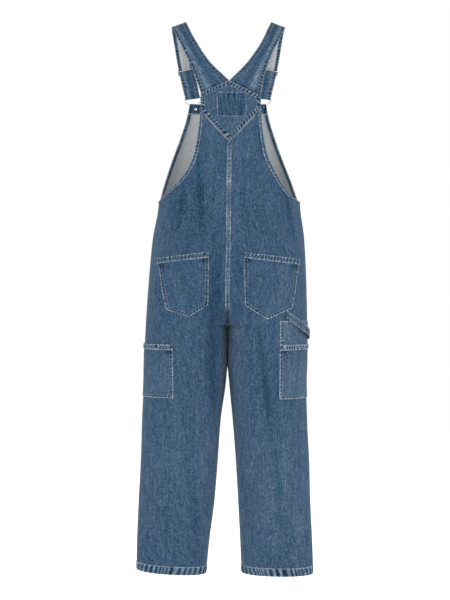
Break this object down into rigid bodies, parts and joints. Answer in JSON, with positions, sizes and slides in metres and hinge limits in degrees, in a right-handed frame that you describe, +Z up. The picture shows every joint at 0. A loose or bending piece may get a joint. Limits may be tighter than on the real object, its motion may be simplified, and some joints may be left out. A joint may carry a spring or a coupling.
{
  "type": "denim bib overalls",
  "caption": "Denim bib overalls, filled out and hollow, with crossed-back straps on wire buckles, back and thigh pockets and a hammer loop.",
  "frame": {"origin": "midway between the two straps, at the height where the wearer's shoulders carry them", "axes": "+Z up, +Y out of the front with the bib, -Y out of the back, +X to the wearer's right"},
  "size_m": [0.466, 0.2774, 1.4537],
  "materials": {
    "denim": "stone-washed twill",
    "denim_dark": "unfaded twill",
    "steel": "satin nickel plate"
  },
  "bodies": {
    "root": {"adjuster_left": "steel", "adjuster_right": "steel", "armhole_binding_left": "denim", "armhole_binding_right": "denim", "back_left": "denim", "back_pocket_band_left": "denim", "back_pocket_band_right": "denim", "back_pocket_left": "denim", "back_pocket_right": "denim", "back_right": "denim", "back_yoke": "denim", "bib": "denim", "bib_button_left": "steel", "bib_button_right": "steel", "bib_pocket": "denim", "bib_side_hem_left": "denim_dark", "bib_side_hem_right": "denim_dark", "bib_top_hem": "denim_dark", "buckle_left": "steel", "buckle_right": "steel", "centre_back_seam": "denim", "front_left": "denim", "front_right": "denim", "hammer_loop": "denim", "side_button_left_1": "steel", "side_button_left_2": "steel", "side_button_right_1": "steel", "side_button_right_2": "steel", "strap_left": "denim", "strap_right": "denim", "thigh_pocket_band_left": "denim", "thigh_pocket_band_right": "denim", "thigh_pocket_left": "denim", "thigh_pocket_right": "denim", "tool_panel_right": "denim", "yoke_patch": "denim_dark"}
  },
  "joints": []
}
